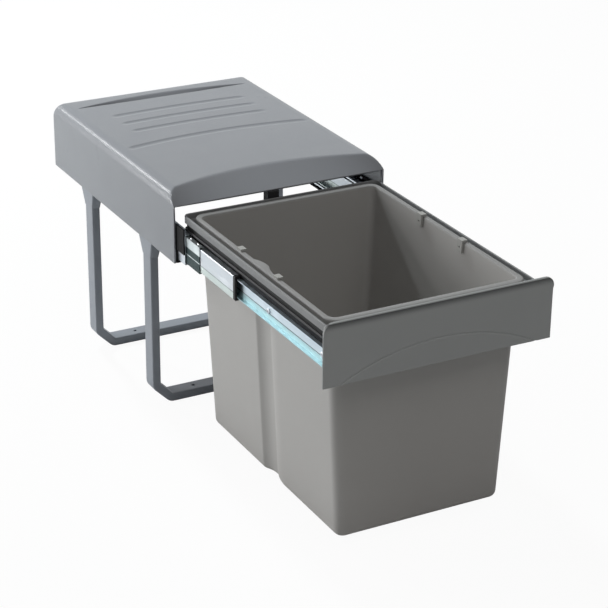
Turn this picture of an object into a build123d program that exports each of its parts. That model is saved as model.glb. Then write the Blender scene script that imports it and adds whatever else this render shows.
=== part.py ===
"""Pull-out waste bin for a kitchen base unit, drawn pulled fully open.

Millimetres, +Z up, X across the unit and the front facing -Y. The origin is at floor level,
in the middle of the four floor screws.
"""

from build123d import *

import os

os.makedirs("parts", exist_ok=True)

# Floor hoops: two U-shaped tubes, screwed to the cabinet floor
hoop_spacing = 221.0
hoop_setback = 105.25
hoop_inset = 3.0
hoop_depth = 27.0
hoop_thickness = 13.0
hoop_wall = 1.5
hoop_corner = 2.0
hoop_cut = 24.0
hoop_fold = 9.0
floor_screw_spacing = 190.0
floor_screw_hole = 5.0

# Cover: a moulded hood with a sloped, arched lip, open at the front and below
cover_width = 340.0
cover_depth = 455.0
cover_wall = 2.5
skirt_bottom = 268.0
skirt_height = 104.0
cover_side_round = 18.0
cover_rear_round = 15.0
rear_wall_height = 60.0
lip_height = 18.0
lip_depth = 56.0
lip_wall = 6.0
lip_arch_radius = 450.0
groove_depth = 1.2
groove_width = 4.5
short_groove_length = 214.0
short_groove_bulge = 4.0
short_groove_pitch = 38.0
short_groove_setback = 273.0
short_groove_count = 3
long_groove_length = 286.0
long_groove_bulge = 14.0
long_groove_setback = 204.0
scoop_length = 286.0
scoop_setback = 408.5
scoop_rear_bulge = 20.0
scoop_front_bulge = 3.0

# Leg sockets: collars that join the hoops to the carrier rails
socket_margin = 2.0
socket_flare = 9.0
socket_lip = 0.5
socket_height = 27.0
socket_taper = 24.5
socket_spigot = 24.0
socket_fit = 0.2

# Carrier rails: black steel angles inside the skirts
carrier_gap = 1.0
carrier_metal = 2.0
carrier_height = 59.0
carrier_flange = 14.5
carrier_reach = 24.5
carrier_nose_height = 38.0
carrier_rear_gap = 15.0
cover_screw_inset = 55.0

# Slides: three-member ball-bearing slides, pulled out by travel
travel = 400.0
slide_metal = 1.2
slide_thickness = 12.7
slide_gap = 3.2
outer_height = 45.6
outer_lip = 1.2
outer_reach = 24.0
outer_length = 420.0
rivet_inset = 34.0
middle_height = 35.0
middle_setback = 29.0
middle_length = 370.0
inner_height = 27.0
inner_length = 410.0
inner_flange = 5.5
inner_screw_inset = 13.0
inner_screw_pitch = 148.0
slide_bend = 1.0
cage_metal = 0.6
cage_gap = 0.6
cage_length = 140.0
ball_count = 6
ball_clearance = 0.3
cage_hole_clearance = 0.3
outer_cage_reach = 44.0
inner_cage_setback = 12.0
bumper_length = 6.0
bumper_fit = 0.3

# Front panel: a moulded face with a stiffening frame behind it and a shallow finger scoop
panel_width = 340.0
panel_height = 89.0
panel_thickness = 15.5
panel_wall = 4.0
panel_inset = 8.0
panel_rim = 3.0
panel_round = 13.0
panel_drop = 4.0
panel_closing_gap = 1.5
panel_edge_round = 1.5
panel_boss_wall = 3.3
finger_arc_radius = 318.0
finger_arc_rise = 36.0
finger_scoop_depth = 1.8
finger_line_width = 2.4
finger_line_depth = 0.8
finger_line_foot = 4.0

# Carriage frame: a moulded ring that the bucket hangs in
frame_overhang = 5.2
frame_length = 424.0
frame_clearance = 0.7
frame_border = 2.5
frame_round = 9.0
frame_inner_round = 1.0
frame_screw_spacing = 209.0
bead_height = 3.5
bead_step = 0.5
shadow_groove_height = 7.5
shadow_groove_depth = 3.0
ledge_height = 3.0
border_height = 8.0

# Side rails and panel brackets: black steel
rail_metal = 2.0
rail_flange = 7.8
rail_drop = 14.0
rail_screw_inset = 51.0
bracket_height = 30.0
bracket_length = 40.0
bracket_width = 25.0

# Bucket
rim_gap = 7.0
rim_width = 5.0
end_rim_width = 9.0
rim_height = 8.4
rim_metal = 2.5
bucket_wall = 2.5
bucket_frame_gap = 1.5
bucket_bottom = 19.5
bucket_side_draft = 17.5
bucket_front_draft = 0.5
bucket_rear_draft = 7.5
bucket_corner = 13.0
bucket_base_round = 9.0
grip_width = 62.0
grip_floor_width = 26.0
grip_depth = 5.5
grip_setback = 9.0
clip_spacing = 107.0
clip_offset = 4.0
clip_length = 12.0
clip_wall = 3.0
clip_leg = 15.0
clip_reach = 2.0
clip_fit = 0.2
clip_hole = 3.0

# Rear stop on the carriage, and the brace that it meets when the bin is shut
stop_width = 18.0
stop_offset = 13.0
stop_height = 30.0
stop_length = 16.0
stop_rise = 10.5
stop_gap = 0.5
brace_height = 60.0
brace_flange = 18.0
brace_tab = 20.0
brace_bottom_gap = 13.3

# Fasteners
screw_clearance = 0.1
small_shank = 3.0
small_head = 5.2
large_shank = 4.0
large_head = 7.6
head_share = 0.3
rivet_head_height = 0.3
screw_tip_gap = 1.5
margin = 5.0

# Places worked out from the sizes above, front to rear
cover_front = -(hoop_spacing / 2 + hoop_setback)
cover_rear = cover_front + cover_depth
carrier_front = cover_front - carrier_reach
carrier_rear = cover_rear - carrier_rear_gap
outer_front = cover_front - outer_reach
middle_front = cover_front + middle_setback - travel / 2
panel_back = carrier_front - panel_closing_gap - travel
panel_front = panel_back - panel_thickness
frame_front = panel_back
frame_rear = frame_front + frame_length
inner_front = frame_front + panel_rim + panel_closing_gap
stop_rear = frame_rear + stop_length
brace_front = stop_rear + travel + stop_gap
outer_cage_front = outer_front - outer_cage_reach
inner_cage_front = middle_front + inner_cage_setback

# Places worked out from the sizes above, bottom to top
cover_top = skirt_bottom + skirt_height
lip_bottom = cover_top - lip_height
carrier_top = skirt_bottom + carrier_height
slide_bottom = skirt_bottom + carrier_metal + slide_gap
slide_centre = slide_bottom + outer_height / 2
frame_bottom = slide_bottom + outer_height + frame_clearance
bead_top = frame_bottom + bead_height
shadow_top = bead_top + shadow_groove_height
ledge = shadow_top + ledge_height
frame_top = ledge + border_height
rim_top = ledge + rim_height
rail_bottom = slide_centre - rail_drop
panel_bottom = skirt_bottom - panel_drop
stop_top = frame_top + stop_rise

# Places worked out from the sizes above, from the middle outwards
skirt_inside = cover_width / 2 - cover_wall
carrier_outside = skirt_inside - carrier_gap
slide_face = carrier_outside - carrier_metal
rail_outside = slide_face - slide_thickness
rail_inside = rail_outside - rail_metal
frame_width = 2 * (rail_outside + frame_overhang)
leg_middle = cover_width / 2 - hoop_inset - hoop_thickness / 2
rim_half_width = frame_width / 2 - frame_border - rim_gap
rim_front = frame_front + frame_border + rim_gap
rim_rear = frame_rear - frame_border - rim_gap
body_half_width = rim_half_width - rim_width
body_front = rim_front + end_rim_width
body_rear = rim_rear - end_rim_width
body_middle = (body_front + body_rear) / 2

# Slide members, measured inwards from the outer member's back
middle_back = slide_metal + 2 * cage_gap + cage_metal
inner_cage_back = middle_back + slide_metal + cage_gap
outer_ball_reach = slide_thickness / 2
inner_ball_reach = slide_thickness - slide_metal - inner_flange / 2
outer_race = outer_height / 2 - slide_metal - middle_height / 2
inner_race = middle_height / 2 - slide_metal - inner_height / 2

hoop_places = {"front": -hoop_spacing / 2, "rear": hoop_spacing / 2}


def save(piece, name):
    """Labels a finished piece and writes it."""
    piece.part.label = name
    export_step(piece.part, f"parts/{name}.step")


def save_pair(left, name):
    """Writes a left-hand piece and its mirror image on the right."""
    save(left, f"left_{name}")
    with BuildPart() as right:
        mirror(left.part, about=Plane.YZ)
    save(right, f"right_{name}")


def save_both_sides(left, name):
    """Writes one group that holds the left-hand pieces and their mirror images."""
    with BuildPart() as both:
        add(left.part)
        mirror(left.part, about=Plane.YZ)
    save(both, name)


def three_along(front, length, inset):
    """Places along Y of three screws: one near each end of a piece and one in its middle."""
    return [front + inset, front + length / 2, front + length - inset]


def sideways(x, places, level, facing):
    """Planes at one X and level that face along X, one at each place along Y."""
    return [Plane((x, y, level), z_dir=(facing, 0, 0)) for y in places]


def pan_screw(shank, head, length):
    """A screw along -Z, with the underside of its crossed head at the origin."""
    head_height = head * head_share
    with BuildPart() as screw:
        Cylinder(head / 2, head_height, align=(Align.CENTER, Align.CENTER, Align.MIN))
        fillet(screw.edges().sort_by(Axis.Z)[-1], head_height / 2)
        with Locations((0, 0, head_height)):
            Box(head / 2, head / 8, head_height, mode=Mode.SUBTRACT)
            Box(head / 8, head / 2, head_height, mode=Mode.SUBTRACT)
        Cylinder(shank / 2, length, align=(Align.CENTER, Align.CENTER, Align.MAX))
    return screw.part


# Front and rear hoop: hollow tube folded twice at each corner, with two screw holes in its floor bar
hoop_top = skirt_bottom - carrier_metal
for end, hoop_y in hoop_places.items():
    with BuildPart() as hoop:
        with BuildLine(Plane.XZ.offset(-hoop_y)):
            FilletPolyline(
                (-leg_middle, hoop_top),
                (-leg_middle, hoop_thickness / 2 + hoop_cut),
                (hoop_cut - leg_middle, hoop_thickness / 2),
                (leg_middle - hoop_cut, hoop_thickness / 2),
                (leg_middle, hoop_thickness / 2 + hoop_cut),
                (leg_middle, hoop_top),
                radius=hoop_fold,
            )
        with BuildSketch(Plane((-leg_middle, hoop_y, hoop_top))):
            RectangleRounded(hoop_thickness, hoop_depth, hoop_corner)
            RectangleRounded(
                hoop_thickness - 2 * hoop_wall,
                hoop_depth - 2 * hoop_wall,
                hoop_corner - hoop_wall,
                mode=Mode.SUBTRACT,
            )
        sweep()
        with Locations((0, hoop_y, hoop_thickness)):
            with GridLocations(floor_screw_spacing, 0, 2, 1):
                Hole(floor_screw_hole / 2, hoop_thickness)
    save(hoop, f"{end}_hoop")


# Leg sockets: a collar that flares towards the cover, and a spigot down inside the tube
for end, hoop_y in hoop_places.items():
    with BuildPart() as socket:
        with BuildSketch(Plane((-leg_middle, hoop_y, skirt_bottom - socket_height))):
            RectangleRounded(hoop_thickness + 2 * socket_lip, hoop_depth + 2 * socket_lip, hoop_corner)
        with BuildSketch(Plane((-leg_middle, hoop_y, skirt_bottom - socket_height + socket_taper))):
            RectangleRounded(hoop_thickness + 2 * socket_margin, hoop_depth + 2 * socket_flare, hoop_corner)
        loft()
        with BuildSketch(Plane((-leg_middle, hoop_y, skirt_bottom - socket_height + socket_taper))):
            RectangleRounded(hoop_thickness + 2 * socket_margin, hoop_depth + 2 * socket_flare, hoop_corner)
        extrude(amount=socket_height - socket_taper)
        with BuildSketch(Plane((-leg_middle, hoop_y, hoop_top))):
            RectangleRounded(
                hoop_thickness + 2 * socket_fit, hoop_depth + 2 * socket_fit, hoop_corner + socket_fit
            )
        extrude(amount=-socket_height, mode=Mode.SUBTRACT)
        with BuildSketch(Plane((-leg_middle, hoop_y, hoop_top))):
            RectangleRounded(
                hoop_thickness - 2 * (hoop_wall + socket_fit),
                hoop_depth - 2 * (hoop_wall + socket_fit),
                hoop_corner - hoop_wall - socket_fit,
            )
        extrude(amount=-socket_spigot)
        with Locations((-leg_middle, hoop_y, skirt_bottom)):
            Hole(large_shank / 2 + screw_clearance, socket_spigot)
    save_pair(socket, f"{end}_leg_socket")


# Carrier rails: an angle whose web backs the slide and whose flange stands on the sockets
cover_screw_level = (frame_bottom + carrier_top) / 2
cover_screw_places = three_along(cover_front, cover_depth, cover_screw_inset)
rivet_places = three_along(outer_front, outer_length, rivet_inset)
brace_screw_levels = [slide_centre - outer_height / 4, slide_centre + outer_height / 4]
brace_screw_y = brace_front + rail_metal + brace_tab / 2
with BuildPart() as carrier:
    with BuildSketch(Plane.YZ.offset(-carrier_outside)):
        with BuildLine():
            Polyline(
                (carrier_front, carrier_top),
                (carrier_front, carrier_top - carrier_nose_height),
                (cover_front, carrier_top - carrier_nose_height),
                (cover_front, skirt_bottom),
                (carrier_rear, skirt_bottom),
                (carrier_rear, carrier_top),
                close=True,
            )
        make_face()
    extrude(amount=carrier_metal)
    with Locations((-carrier_outside, cover_front, skirt_bottom)):
        Box(
            carrier_flange,
            carrier_rear - cover_front,
            carrier_metal,
            align=(Align.MIN, Align.MIN, Align.MIN),
        )
    with Locations(*[(-leg_middle, y, skirt_bottom + carrier_metal) for y in hoop_places.values()]):
        CounterSinkHole(large_shank / 2 + screw_clearance, large_head / 2 + screw_clearance)
    with Locations(*sideways(-slide_face, cover_screw_places, cover_screw_level, 1)):
        Hole(small_shank / 2 + screw_clearance, carrier_metal)
    with Locations(*sideways(-slide_face, rivet_places, slide_centre, 1)):
        Hole(large_shank / 2 + screw_clearance, carrier_metal)
    with Locations(*[Plane((-slide_face, brace_screw_y, z), z_dir=(1, 0, 0)) for z in brace_screw_levels]):
        Hole(large_shank / 2 + screw_clearance, carrier_metal)
save_pair(carrier, "carrier_rail")


# Socket screws: countersunk into the carrier flange and driven down the spigots
with BuildPart() as socket_screws:
    for hoop_y in hoop_places.values():
        with Locations((-leg_middle, hoop_y, skirt_bottom + carrier_metal)):
            Cylinder(
                large_shank / 2, socket_spigot, align=(Align.CENTER, Align.CENTER, Align.MAX)
            )
            Cone(
                large_shank / 2,
                large_head / 2,
                (large_head - large_shank) / 2,
                align=(Align.CENTER, Align.CENTER, Align.MAX),
            )
save_both_sides(socket_screws, "socket_screws")


def lip_wedge(setback):
    """The space in front of the sloped lip: straight along its foot, arched along its top."""
    half = cover_width / 2 + margin
    front = cover_front - margin
    foot = cover_front + setback
    arch_middle = foot + lip_depth
    arch_end = arch_middle - lip_arch_radius + (lip_arch_radius**2 - half**2) ** 0.5
    with BuildPart() as wedge:
        with BuildSketch(Plane.XY.offset(lip_bottom)):
            with BuildLine():
                Polyline((-half, foot), (half, foot), (half, front), (-half, front), close=True)
            make_face()
        with BuildSketch(Plane.XY.offset(cover_top)):
            with BuildLine():
                ThreePointArc((-half, arch_end), (0, arch_middle), (half, arch_end))
                Polyline((half, arch_end), (half, front), (-half, front), (-half, arch_end))
            make_face()
        loft(ruled=True)
    return wedge.part


# Hollow of the cover: its inside, run out through the open front and underside
outer_wedge = lip_wedge(0)
inner_wedge = lip_wedge(lip_wall)
with BuildPart() as cover_hollow:
    with BuildSketch(Plane.XZ.offset(margin - cover_front)) as hollow_profile:
        with Locations((0, skirt_bottom)):
            Rectangle(2 * skirt_inside, skirt_height - cover_wall, align=(Align.CENTER, Align.MIN))
        fillet(hollow_profile.vertices().group_by(Axis.Y)[-1], cover_side_round - cover_wall)
    extrude(amount=-(cover_depth + margin - cover_wall))
    fillet(
        cover_hollow.faces().sort_by(Axis.Y)[-1].edges().filter_by_position(
            Axis.Z, cover_top - cover_side_round, cover_top
        ),
        cover_rear_round - cover_wall,
    )
    add(inner_wedge, mode=Mode.SUBTRACT)


# Short and long grooves and the rear scoop, drawn on the cover's top
short_groove_lines = []
for index in range(short_groove_count):
    groove_y = cover_front + short_groove_setback + index * short_groove_pitch
    short_groove_lines.append(
        ThreePointArc(
            (-short_groove_length / 2, groove_y),
            (0, groove_y + short_groove_bulge),
            (short_groove_length / 2, groove_y),
        )
    )
long_groove_y = cover_front + long_groove_setback
long_groove_line = ThreePointArc(
    (-long_groove_length / 2, long_groove_y),
    (0, long_groove_y + long_groove_bulge),
    (long_groove_length / 2, long_groove_y),
)
scoop_y = cover_front + scoop_setback


# Top cover
with BuildPart() as top_cover:
    with BuildSketch(Plane.XZ.offset(-cover_front)) as cover_profile:
        with Locations((0, skirt_bottom)):
            Rectangle(cover_width, skirt_height, align=(Align.CENTER, Align.MIN))
        fillet(cover_profile.vertices().group_by(Axis.Y)[-1], cover_side_round)
    extrude(amount=-cover_depth)
    fillet(
        top_cover.faces().sort_by(Axis.Y)[-1].edges().filter_by_position(
            Axis.Z, cover_top - cover_side_round, cover_top
        ),
        cover_rear_round,
    )
    add(outer_wedge, mode=Mode.SUBTRACT)
    add(cover_hollow.part, mode=Mode.SUBTRACT)
    with Locations((0, cover_rear, skirt_bottom)):
        Box(
            2 * skirt_inside,
            2 * (cover_wall + margin),
            skirt_height - rear_wall_height,
            align=(Align.CENTER, Align.CENTER, Align.MIN),
            mode=Mode.SUBTRACT,
        )
    with BuildSketch(Plane.XY.offset(cover_top)):
        for groove_line in short_groove_lines:
            SlotArc(groove_line, groove_width)
        SlotArc(long_groove_line, groove_width)
        with BuildLine():
            ThreePointArc(
                (-scoop_length / 2, scoop_y), (0, scoop_y + scoop_rear_bulge), (scoop_length / 2, scoop_y)
            )
            ThreePointArc(
                (scoop_length / 2, scoop_y), (0, scoop_y - scoop_front_bulge), (-scoop_length / 2, scoop_y)
            )
        make_face()
    extrude(amount=-groove_depth, mode=Mode.SUBTRACT)
    for side in (-1, 1):
        with Locations(*sideways(side * skirt_inside, cover_screw_places, cover_screw_level, -side)):
            Cylinder(small_head, carrier_gap, align=(Align.CENTER, Align.CENTER, Align.MIN))
        with Locations(*sideways(side * carrier_outside, cover_screw_places, cover_screw_level, -side)):
            Hole(small_shank / 2 + screw_clearance, carrier_gap + cover_wall / 2)
save(top_cover, "top_cover")


# Cover screws: from inside, through the carrier webs into the skirts' bosses
cover_screw = pan_screw(small_shank, small_head, carrier_metal + carrier_gap + cover_wall / 3)
with BuildPart() as cover_screws:
    with Locations(*sideways(-slide_face, cover_screw_places, cover_screw_level, 1)):
        add(cover_screw)
save_both_sides(cover_screws, "cover_screws")


def slide_plane(front):
    """Section plane across the left slide: inwards from the outer member's back, and up."""
    return Plane((-slide_face, front, slide_centre), x_dir=(1, 0, 0), z_dir=(0, -1, 0))


# Outer slides: a channel with turned lips, riveted to the carrier web
with BuildPart() as outer_slide:
    with BuildSketch(slide_plane(outer_front)) as outer_section:
        Rectangle(slide_thickness - slide_metal, outer_height, align=(Align.MIN, Align.CENTER))
        fillet(outer_section.vertices().group_by(Axis.X)[0], slide_bend)
        with Locations((slide_metal, 0)):
            Rectangle(
                slide_thickness,
                outer_height - 2 * (slide_metal + outer_lip),
                align=(Align.MIN, Align.CENTER),
                mode=Mode.SUBTRACT,
            )
            Rectangle(
                slide_thickness - 3 * slide_metal,
                outer_height - 2 * slide_metal,
                align=(Align.MIN, Align.CENTER),
                mode=Mode.SUBTRACT,
            )
    extrude(amount=-outer_length)
    with Locations(*sideways(slide_metal - slide_face, rivet_places, slide_centre, 1)):
        Hole(large_shank / 2 + screw_clearance, slide_metal)
save_pair(outer_slide, "outer_slide")


# Slide rivets: flat heads on both sides of the carrier web and the outer member
with BuildPart() as slide_rivets:
    with Locations(*sideways(slide_metal - slide_face, rivet_places, slide_centre, 1)):
        Cylinder(
            large_shank / 2,
            slide_metal + carrier_metal,
            align=(Align.CENTER, Align.CENTER, Align.MAX),
        )
        Cylinder(large_head / 2, rivet_head_height, align=(Align.CENTER, Align.CENTER, Align.MIN))
    with Locations(*sideways(-carrier_outside, rivet_places, slide_centre, 1)):
        Cylinder(large_head / 2, rivet_head_height, align=(Align.CENTER, Align.CENTER, Align.MAX))
save_both_sides(slide_rivets, "slide_rivets")


# Middle slides: a channel that runs in the outer member
with BuildPart() as middle_slide:
    with BuildSketch(slide_plane(middle_front)) as middle_section:
        with Locations((middle_back, 0)):
            Rectangle(
                slide_thickness - slide_metal - middle_back, middle_height, align=(Align.MIN, Align.CENTER)
            )
        fillet(middle_section.vertices().group_by(Axis.X)[0], slide_bend)
        with Locations((middle_back + slide_metal, 0)):
            Rectangle(
                slide_thickness,
                middle_height - 2 * slide_metal,
                align=(Align.MIN, Align.CENTER),
                mode=Mode.SUBTRACT,
            )
    extrude(amount=-middle_length)
save_pair(middle_slide, "middle_slide")


# Middle bumpers: black end pieces that wrap the inner member at the middle member's front
with BuildPart() as middle_bumper:
    with BuildSketch(slide_plane(middle_front - bumper_length)) as bumper_section:
        with Locations((middle_back, 0)):
            Rectangle(
                slide_thickness - slide_metal - middle_back, middle_height, align=(Align.MIN, Align.CENTER)
            )
        fillet(bumper_section.vertices(), slide_bend)
        with Locations((slide_thickness - slide_metal - inner_flange - bumper_fit, 0)):
            Rectangle(
                slide_thickness,
                inner_height + 2 * bumper_fit,
                align=(Align.MIN, Align.CENTER),
                mode=Mode.SUBTRACT,
            )
    extrude(amount=-bumper_length)
save_pair(middle_bumper, "middle_bumper")


def ball_places(front, reach, level):
    """Centres of the balls in the upper and lower row of one cage."""
    pitch = cage_length / ball_count
    rows = (slide_centre - level, slide_centre + level)
    return [(reach - slide_face, front + pitch * (i + 0.5), z) for z in rows for i in range(ball_count)]


# Ball cages and balls: one pair between outer and middle member, one between middle and inner
cage_members = {
    "outer": (outer_cage_front, slide_metal + cage_gap, outer_ball_reach, middle_height / 2, outer_race),
    "inner": (inner_cage_front, inner_cage_back, inner_ball_reach, inner_height / 2, inner_race),
}
for member, (cage_front, cage_back, ball_reach, race, race_gap) in cage_members.items():
    ball_level = race + race_gap / 2
    ball_radius = race_gap / 2 - ball_clearance
    centres = ball_places(cage_front, ball_reach, ball_level)
    with BuildPart() as cage:
        with BuildSketch(slide_plane(cage_front)):
            with Locations((cage_back, 0)):
                Rectangle(
                    ball_reach + ball_radius + cage_metal - cage_back,
                    2 * ball_level + cage_metal,
                    align=(Align.MIN, Align.CENTER),
                )
            with Locations((cage_back + cage_metal, 0)):
                Rectangle(
                    slide_thickness,
                    2 * ball_level - cage_metal,
                    align=(Align.MIN, Align.CENTER),
                    mode=Mode.SUBTRACT,
                )
        extrude(amount=-cage_length)
        with Locations(*centres):
            Cylinder(ball_radius + cage_hole_clearance, 2 * cage_metal, mode=Mode.SUBTRACT)
    save_pair(cage, f"{member}_ball_cage")
    with BuildPart() as balls:
        with Locations(*centres):
            Sphere(ball_radius)
    save_pair(balls, f"{member}_balls")


# Inner slides: a channel that opens outwards, screwed to the carriage's side rail
inner_web = slide_thickness - slide_metal
inner_screw_places = [inner_front + inner_screw_inset + i * inner_screw_pitch for i in range(3)]
with BuildPart() as inner_slide:
    with BuildSketch(slide_plane(inner_front)) as inner_section:
        with Locations((inner_web - inner_flange, 0)):
            Rectangle(inner_flange + slide_metal, inner_height, align=(Align.MIN, Align.CENTER))
        fillet(inner_section.vertices().group_by(Axis.X)[-1], slide_bend)
        with Locations((inner_web, 0)):
            Rectangle(
                slide_thickness,
                inner_height - 2 * slide_metal,
                align=(Align.MAX, Align.CENTER),
                mode=Mode.SUBTRACT,
            )
    extrude(amount=-inner_length)
    with Locations(*sideways(inner_web - slide_face, inner_screw_places, slide_centre, -1)):
        Hole(large_shank / 2 + screw_clearance, slide_metal)
save_pair(inner_slide, "inner_slide")


# Side rails: a black angle with the inner slide on its web and the frame on its flange
rail_screw_places = three_along(frame_front, frame_length, rail_screw_inset)
rail_screw_x = rail_inside - (rail_flange - rail_metal) / 2
with BuildPart() as side_rail:
    with Locations((-rail_outside, frame_front, rail_bottom)):
        Box(
            rail_metal,
            frame_length,
            frame_bottom - rail_bottom,
            align=(Align.MIN, Align.MIN, Align.MIN),
        )
    with Locations((-rail_outside, frame_front, frame_bottom)):
        Box(
            rail_flange,
            frame_length,
            rail_metal,
            align=(Align.MIN, Align.MIN, Align.MAX),
        )
    with Locations(*sideways(-rail_outside, inner_screw_places, slide_centre, -1)):
        Hole(large_shank / 2 + screw_clearance, rail_metal)
    with Locations(*[(-rail_screw_x, y, frame_bottom) for y in rail_screw_places]):
        Hole(small_shank / 2 + screw_clearance, rail_metal)
save_pair(side_rail, "side_rail")


# Inner slide screws: heads in the open side of the inner member
inner_slide_screw = pan_screw(large_shank, large_head, slide_metal + rail_metal)
with BuildPart() as inner_slide_screws:
    with Locations(*sideways(inner_web - slide_face, inner_screw_places, slide_centre, -1)):
        add(inner_slide_screw)
save_both_sides(inner_slide_screws, "inner_slide_screws")


def ring(outset, inset, end_inset):
    """The frame's outline in plan, moved in by outset, less a hole moved in from its sides and its ends."""
    corner = max(frame_round - outset, frame_inner_round)
    hole_corner = max(frame_round - inset, frame_inner_round)
    with BuildSketch() as plan:
        with Locations((0, (frame_front + frame_rear) / 2)):
            RectangleRounded(frame_width - 2 * outset, frame_length - 2 * outset, corner)
            RectangleRounded(
                frame_width - 2 * inset, frame_length - 2 * end_inset, hole_corner, mode=Mode.SUBTRACT
            )
    return plan.sketch


# Carriage frame: bead, shadow groove, ledge for the bucket's rim and raised border
opening_inset = frame_border + rim_gap + rim_width - bucket_frame_gap
end_opening_inset = frame_border + rim_gap + end_rim_width - bucket_frame_gap
frame_screw_x = frame_screw_spacing / 2
frame_screw_level = (frame_bottom + ledge) / 2
frame_bar_inside = frame_front + end_opening_inset
frame_head_height = large_head * head_share
stop_screw_places = [(x - stop_offset, frame_screw_level) for x in (-stop_width / 4, stop_width / 4)]
stop_screw_bite = end_opening_inset - shadow_groove_depth - screw_tip_gap
with BuildPart() as carriage_frame:
    with BuildSketch(Plane.XY.offset(frame_bottom)):
        add(ring(bead_step, opening_inset, end_opening_inset))
    extrude(amount=bead_height)
    with BuildSketch(Plane.XY.offset(bead_top)):
        add(ring(shadow_groove_depth, opening_inset, end_opening_inset))
    extrude(amount=shadow_groove_height)
    with BuildSketch(Plane.XY.offset(shadow_top)):
        add(ring(0, opening_inset, end_opening_inset))
    extrude(amount=ledge_height)
    with BuildSketch(Plane.XY.offset(ledge)):
        add(ring(0, frame_border, frame_border))
    extrude(amount=border_height)
    fillet(carriage_frame.faces().sort_by(Axis.Z)[-1].edges(), frame_border / 4)
    with Locations(*[(x, y, frame_bottom) for x in (-rail_screw_x, rail_screw_x) for y in rail_screw_places]):
        Cylinder(
            small_shank / 2 + screw_clearance,
            bead_height + shadow_groove_height,
            align=(Align.CENTER, Align.CENTER, Align.MIN),
            mode=Mode.SUBTRACT,
        )
    with Locations(
        *[
            Plane((x, frame_bar_inside, frame_screw_level), z_dir=(0, 1, 0))
            for x in (-frame_screw_x, frame_screw_x)
        ]
    ):
        CounterBoreHole(
            large_shank / 2 + screw_clearance,
            large_head / 2 + screw_clearance,
            frame_head_height + screw_clearance,
            end_opening_inset,
        )
    with Locations(*[Plane((x, frame_rear, z), z_dir=(0, 1, 0)) for x, z in stop_screw_places]):
        Hole(small_shank / 2 + screw_clearance, stop_screw_bite + screw_clearance)
save(carriage_frame, "carriage_frame")


# Rail screws: up through the side rails' flanges into the frame
rail_screw = pan_screw(small_shank, small_head, rail_metal + bead_height + shadow_groove_height / 2)
with BuildPart() as rail_screws:
    with Locations(
        *[Location((-rail_screw_x, y, frame_bottom - rail_metal), (180, 0, 0)) for y in rail_screw_places]
    ):
        add(rail_screw)
save_both_sides(rail_screws, "rail_screws")


# Front panel: a thin face with rounded top corners, dished below a fine line, and a frame and bosses behind
bracket_bottom = slide_centre - bracket_height / 2
bracket_screw_x = rail_inside - rail_metal - bracket_width / 2
bracket_screw_levels = [slide_centre - bracket_height / 4, slide_centre + bracket_height / 4]
boss_places = [(x, z) for x in (-bracket_screw_x, bracket_screw_x) for z in bracket_screw_levels]
boss_places += [(x, frame_screw_level) for x in (-frame_screw_x, frame_screw_x)]
finger_foot = finger_arc_radius - finger_arc_rise
dish_throw = (finger_arc_radius**2 - finger_foot**2 - finger_scoop_depth**2) / (2 * finger_scoop_depth)
dish_radius = (finger_arc_radius**2 + dish_throw**2) ** 0.5
finger_line_reach = (finger_arc_radius**2 - (finger_foot + finger_line_foot) ** 2) ** 0.5
finger_line = ThreePointArc(
    (-finger_line_reach, panel_bottom + finger_line_foot),
    (0, panel_bottom + finger_arc_rise),
    (finger_line_reach, panel_bottom + finger_line_foot),
)
with BuildPart() as front_panel:
    with BuildSketch(Plane.XZ.offset(-panel_front - panel_wall)) as panel_outline:
        with Locations((0, panel_bottom)):
            Rectangle(panel_width, panel_height, align=(Align.CENTER, Align.MIN))
        fillet(panel_outline.vertices().group_by(Axis.Y)[-1], panel_round)
    extrude(amount=panel_wall)
    with Locations((0, panel_front - dish_throw, panel_bottom - finger_foot)):
        Sphere(dish_radius, mode=Mode.SUBTRACT)
    with BuildSketch(Plane.XZ.offset(-panel_front)):
        SlotArc(finger_line, finger_line_width)
    extrude(amount=-finger_line_depth, mode=Mode.SUBTRACT)
    fillet(
        front_panel.faces().sort_by(Axis.Z)[-1].edges().group_by(Axis.Y)[0],
        panel_edge_round,
    )
    with BuildSketch(Plane.XZ.offset(-panel_back)):
        with Locations((0, panel_bottom + panel_height / 2)):
            Rectangle(panel_width - 2 * panel_inset, panel_height - 2 * panel_inset)
            Rectangle(
                panel_width - 2 * (panel_inset + panel_rim),
                panel_height - 2 * (panel_inset + panel_rim),
                mode=Mode.SUBTRACT,
            )
        with Locations(*boss_places):
            Circle(large_shank / 2 + panel_boss_wall)
    extrude(amount=panel_thickness - panel_wall)
    with Locations(*[Plane((x, panel_back, z), z_dir=(0, 1, 0)) for x, z in boss_places]):
        Hole(large_shank / 2 + screw_clearance, panel_thickness - panel_wall)
save(front_panel, "front_panel")


# Panel brackets: angles that tie the side rails to the panel
with BuildPart() as panel_bracket:
    with Locations((-rail_inside, panel_back, bracket_bottom)):
        Box(rail_metal, bracket_length, bracket_height, align=(Align.MIN, Align.MIN, Align.MIN))
        Box(
            rail_metal + bracket_width,
            rail_metal,
            bracket_height,
            align=(Align.MIN, Align.MIN, Align.MIN),
        )
    with Locations(
        *[
            Plane((-bracket_screw_x, panel_back + rail_metal, z), z_dir=(0, 1, 0))
            for z in bracket_screw_levels
        ]
    ):
        Hole(large_shank / 2 + screw_clearance, rail_metal)
save_pair(panel_bracket, "panel_bracket")


# Panel screws: from behind, through the brackets into the panel's bosses
panel_screw_bite = panel_thickness - panel_wall - screw_tip_gap
panel_screw = pan_screw(large_shank, large_head, rail_metal + panel_screw_bite)
with BuildPart() as panel_screws:
    with Locations(
        *[
            Location((-bracket_screw_x, panel_back + rail_metal, z), (-90, 0, 0))
            for z in bracket_screw_levels
        ]
    ):
        add(panel_screw)
save_both_sides(panel_screws, "panel_screws")


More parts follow.
